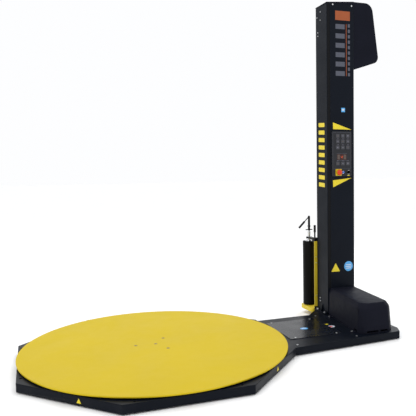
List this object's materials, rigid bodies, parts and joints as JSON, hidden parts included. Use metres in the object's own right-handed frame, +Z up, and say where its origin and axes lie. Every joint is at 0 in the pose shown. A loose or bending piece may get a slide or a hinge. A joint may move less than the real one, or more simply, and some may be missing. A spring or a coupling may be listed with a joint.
{
  "type": "turntable pallet wrapper",
  "caption": "Floor-standing turntable pallet wrapper with a low octagonal base, a neck with a covered drive, a film mast and a film carriage that climbs it.",
  "frame": {"origin": "on the floor at the turntable's axis, under the centre floor pad", "axes": "+Z up; +X from the turntable along the neck; +Y towards the mast's carriage side"},
  "size_m": [2.4058, 1.4998, 2.167],
  "materials": {
    "rubber": "matt",
    "base_paint": "satin powder coat",
    "cover_paint": "satin",
    "mast_paint": "satin powder coat",
    "zinc_steel": "zinc plated",
    "machined_steel": "machined",
    "bronze": "satin",
    "motor_paint": "satin",
    "chain_steel": "oiled",
    "moulded_black": "fine grain",
    "black_plastic": "matt",
    "cast_block": "machined",
    "belt_rubber": "matt",
    "panel_grey": "satin",
    "key_film": "satin film",
    "display": "smoked window",
    "yellow_label": "gloss",
    "bezel_chrome": "polished",
    "yellow_paint": "powder coat",
    "black_screws": "black oxide",
    "arm_black": "satin",
    "roller_rubber": "ground rubber",
    "roller_nylon": "nylon",
    "wheel_nylon": "nylon",
    "stop_red": "gloss",
    "start_blue": "gloss"
  },
  "bodies": {
    "base": {"floor_pads": "rubber", "base_frame": "base_paint", "deck_plate": "base_paint", "neck_cover": "cover_paint", "deck_screws": "zinc_steel", "centre_post": "machined_steel", "thrust_ring": "bronze", "roller_brackets": "zinc_steel", "roller_axles": "machined_steel", "drive_gearmotor": "motor_paint", "drive_chain": "chain_steel", "motor_shroud": "moulded_black", "cable_gland": "black_plastic", "mast_foot": "base_paint", "mast_foot_bolts": "zinc_steel", "mast_column": "mast_paint", "mast_front_cover": "mast_paint", "cover_screws": "zinc_steel", "guide_rails": "machined_steel", "lift_gearmotor": "motor_paint", "lift_bearing_block": "cast_block", "lift_hood": "moulded_black", "lift_belt": "belt_rubber", "idler_bracket": "zinc_steel", "control_panel": "panel_grey", "keypad": "key_film", "display_window": "display", "estop_plate": "yellow_label", "button_bezels": "bezel_chrome", "control_unit": "panel_grey"},
    "turntable": {"turntable_plate": "yellow_paint", "table_hub": "cast_block", "hub_bush": "bronze", "ring_sprocket": "chain_steel", "hub_screws": "black_screws"},
    "drive_wheel": {"drive_sprocket": "chain_steel"},
    "lift_wheel": {"lift_pulley": "machined_steel"},
    "idler_wheel": {"idler_pulley": "machined_steel"},
    "carriage": {"carriage_plate": "yellow_paint", "tray_bracket": "black_plastic", "film_tray": "yellow_paint", "trolley": "cast_block", "roller_arm": "arm_black", "roller_shafts": "machined_steel", "carriage_screws": "zinc_steel"},
    "film_brake": {"brake_roller": "roller_rubber"},
    "mandrel": {"film_mandrel": "black_plastic"},
    "upper_wheels": {"upper_guide_wheels": "wheel_nylon"},
    "lower_wheels": {"lower_guide_wheels": "wheel_nylon"},
    "lever": {"brake_lever": "arm_black"},
    "knob": {"clamp_knob": "black_plastic"},
    "stop_button": {"estop_button": "stop_red"},
    "go_button": {"start_button": "start_blue"},
    "power_switch": {"main_switch": "black_plastic"},
    "roller_1": {"support_roller_1": "roller_nylon"},
    "roller_2": {"support_roller_2": "roller_nylon"},
    "roller_3": {"support_roller_3": "roller_nylon"},
    "roller_4": {"support_roller_4": "roller_nylon"},
    "roller_5": {"support_roller_5": "roller_nylon"},
    "roller_6": {"support_roller_6": "roller_nylon"}
  },
  "joints": [
    {"name": "table_spin", "type": "hinge", "parent": "base", "child": "turntable", "pos_m": [0, 0, 0.056], "axis": [0, 0, 1], "continuous": true},
    {"name": "drive_spin", "type": "hinge", "parent": "base", "child": "drive_wheel", "pos_m": [1.32, 0, 0.036], "axis": [0, 0, 1], "continuous": true},
    {"name": "roller_1_spin", "type": "hinge", "parent": "base", "child": "roller_1", "pos_m": [0.48497, 0.28, 0.0387], "axis": [0.866, 0.5, 0], "continuous": true},
    {"name": "roller_2_spin", "type": "hinge", "parent": "base", "child": "roller_2", "pos_m": [0, 0.56, 0.0387], "axis": [0, 1, 0], "continuous": true},
    {"name": "roller_3_spin", "type": "hinge", "parent": "base", "child": "roller_3", "pos_m": [-0.48497, 0.28, 0.0387], "axis": [-0.866, 0.5, 0], "continuous": true},
    {"name": "roller_4_spin", "type": "hinge", "parent": "base", "child": "roller_4", "pos_m": [-0.48497, -0.28, 0.0387], "axis": [-0.866, -0.5, 0], "continuous": true},
    {"name": "roller_5_spin", "type": "hinge", "parent": "base", "child": "roller_5", "pos_m": [0, -0.56, 0.0387], "axis": [0, -1, 0], "continuous": true},
    {"name": "roller_6_spin", "type": "hinge", "parent": "base", "child": "roller_6", "pos_m": [0.48497, -0.28, 0.0387], "axis": [0.866, -0.5, 0], "continuous": true},
    {"name": "carriage_lift", "type": "slide", "parent": "base", "child": "carriage", "axis": [0, 0, 1], "range_m": [0, 1.55]},
    {"name": "lift_pulley_spin", "type": "hinge", "parent": "base", "child": "lift_wheel", "pos_m": [1.356, 0.31, 2.083], "axis": [1, 0, 0], "range_deg": [-5, 3318.7]},
    {"name": "idler_pulley_spin", "type": "hinge", "parent": "base", "child": "idler_wheel", "pos_m": [1.356, 0.31, 0.105], "axis": [1, 0, 0], "range_deg": [-5, 3318.7]},
    {"name": "upper_wheels_spin", "type": "hinge", "parent": "carriage", "child": "upper_wheels", "pos_m": [1.356, 0.3637, 0.458], "axis": [1, 0, 0], "range_deg": [-5555.5, 5]},
    {"name": "lower_wheels_spin", "type": "hinge", "parent": "carriage", "child": "lower_wheels", "pos_m": [1.356, 0.3637, 0.178], "axis": [1, 0, 0], "range_deg": [-5, 5555.5]},
    {"name": "brake_roller_spin", "type": "hinge", "parent": "carriage", "child": "film_brake", "pos_m": [1.26, 0.5203, 0.3], "axis": [0, 0, 1], "continuous": true},
    {"name": "film_mandrel_spin", "type": "hinge", "parent": "carriage", "child": "mandrel", "pos_m": [1.45, 0.5263, 0.25], "axis": [0, 0, 1], "continuous": true},
    {"name": "brake_lever_turn", "type": "hinge", "parent": "carriage", "child": "lever", "pos_m": [1.26, 0.5203, 0.704], "axis": [0, 0, 1], "range_deg": [-90, 90]},
    {"name": "clamp_knob_turn", "type": "hinge", "parent": "carriage", "child": "knob", "pos_m": [1.25, 0.4163, 0.6], "axis": [0, 0, 1], "range_deg": [-180, 180]},
    {"name": "estop_press", "type": "slide", "parent": "base", "child": "stop_button", "axis": [0, 1, 0], "range_m": [0, 0.005], "stiffness_N_per_m": 600},
    {"name": "start_press", "type": "slide", "parent": "base", "child": "go_button", "axis": [0, 1, 0], "range_m": [0, 0.003], "stiffness_N_per_m": 400},
    {"name": "main_switch_turn", "type": "hinge", "parent": "base", "child": "power_switch", "pos_m": [1.409, 0.225, 1.02], "axis": [0, -1, 0], "range_deg": [0, 90]}
  ],
  "couplings": [
    {"joint": "drive_spin", "follows": "table_spin", "ratio": 4},
    {"joint": "roller_1_spin", "follows": "table_spin", "ratio": -32.941},
    {"joint": "roller_2_spin", "follows": "table_spin", "ratio": -32.941},
    {"joint": "roller_3_spin", "follows": "table_spin", "ratio": -32.941},
    {"joint": "roller_4_spin", "follows": "table_spin", "ratio": -32.941},
    {"joint": "roller_5_spin", "follows": "table_spin", "ratio": -32.941},
    {"joint": "roller_6_spin", "follows": "table_spin", "ratio": -32.941},
    {"joint": "lift_pulley_spin", "follows": "carriage_lift", "rad_per_m": 37.313},
    {"joint": "idler_pulley_spin", "follows": "carriage_lift", "rad_per_m": 37.313},
    {"joint": "upper_wheels_spin", "follows": "carriage_lift", "rad_per_m": -62.5},
    {"joint": "lower_wheels_spin", "follows": "carriage_lift", "rad_per_m": 62.5}
  ]
}
